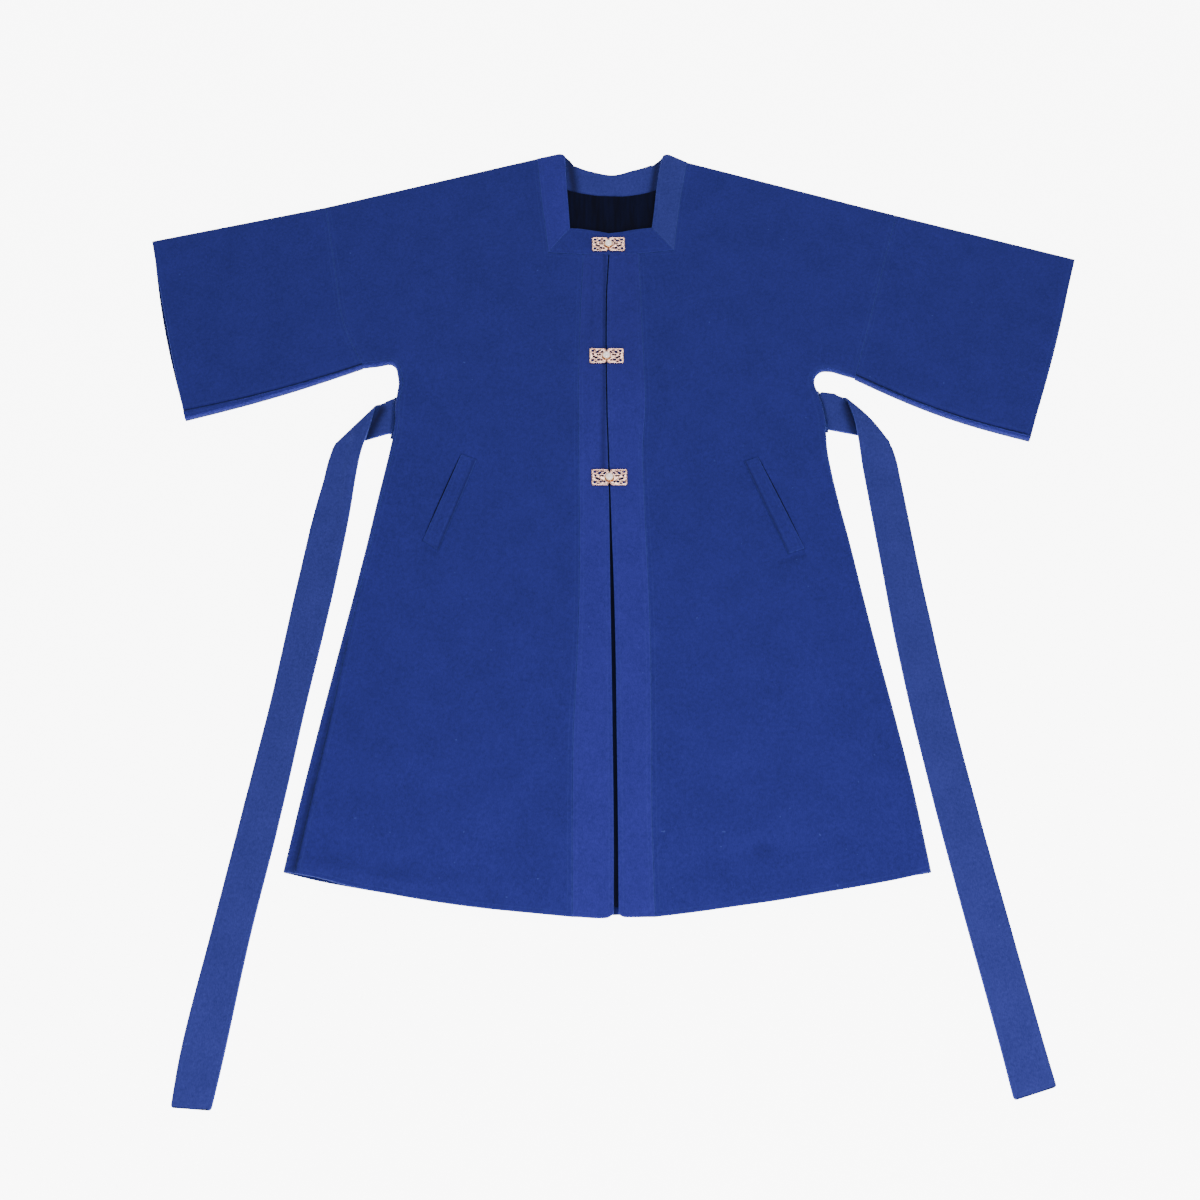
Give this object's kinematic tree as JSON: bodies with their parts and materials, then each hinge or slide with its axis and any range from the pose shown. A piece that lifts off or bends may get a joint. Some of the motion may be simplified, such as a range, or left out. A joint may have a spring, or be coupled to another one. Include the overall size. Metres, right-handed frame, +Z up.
{
  "type": "square-collar long jacket",
  "caption": "Long navy wool jacket with a square mitred collar, edge-to-edge front bands, ornamental clasps, slanted welt pockets and a cloth belt, laid flat.",
  "frame": {"origin": "on the surface that the jacket lies on, under the middle of its overall box, belt included", "axes": "+X to the wearer's left, +Y towards the neck, +Z up out of the surface; the jacket lies on its back"},
  "size_m": [1.25, 1.2624, 0.017],
  "materials": {
    "wool": "matt navy wool coating with a short felted nap",
    "lining": "smooth near-black navy lining with a faint sheen",
    "clasp_metal": "polished pale rose gold plating",
    "pearl": "white pearl, glossy"
  },
  "bodies": {
    "root": {"back_panel": "wool", "collar_back": "wool", "front_right": "wool", "sleeve_right": "wool", "collar_side_right": "wool", "collar_front_right": "wool", "placket_right": "wool", "welt_right": "wool", "belt_loop_right": "wool", "front_left": "wool", "sleeve_left": "wool", "collar_side_left": "wool", "collar_front_left": "wool", "placket_left": "wool", "welt_left": "wool", "belt_loop_left": "wool", "belt": "wool", "lining_back": "lining", "clasp_top_right": "clasp_metal", "clasp_top_left": "clasp_metal", "clasp_middle_right": "clasp_metal", "clasp_middle_left": "clasp_metal", "clasp_bottom_right": "clasp_metal", "clasp_bottom_left": "clasp_metal", "pearl_top": "pearl", "pearl_middle": "pearl", "pearl_bottom": "pearl"}
  },
  "joints": []
}
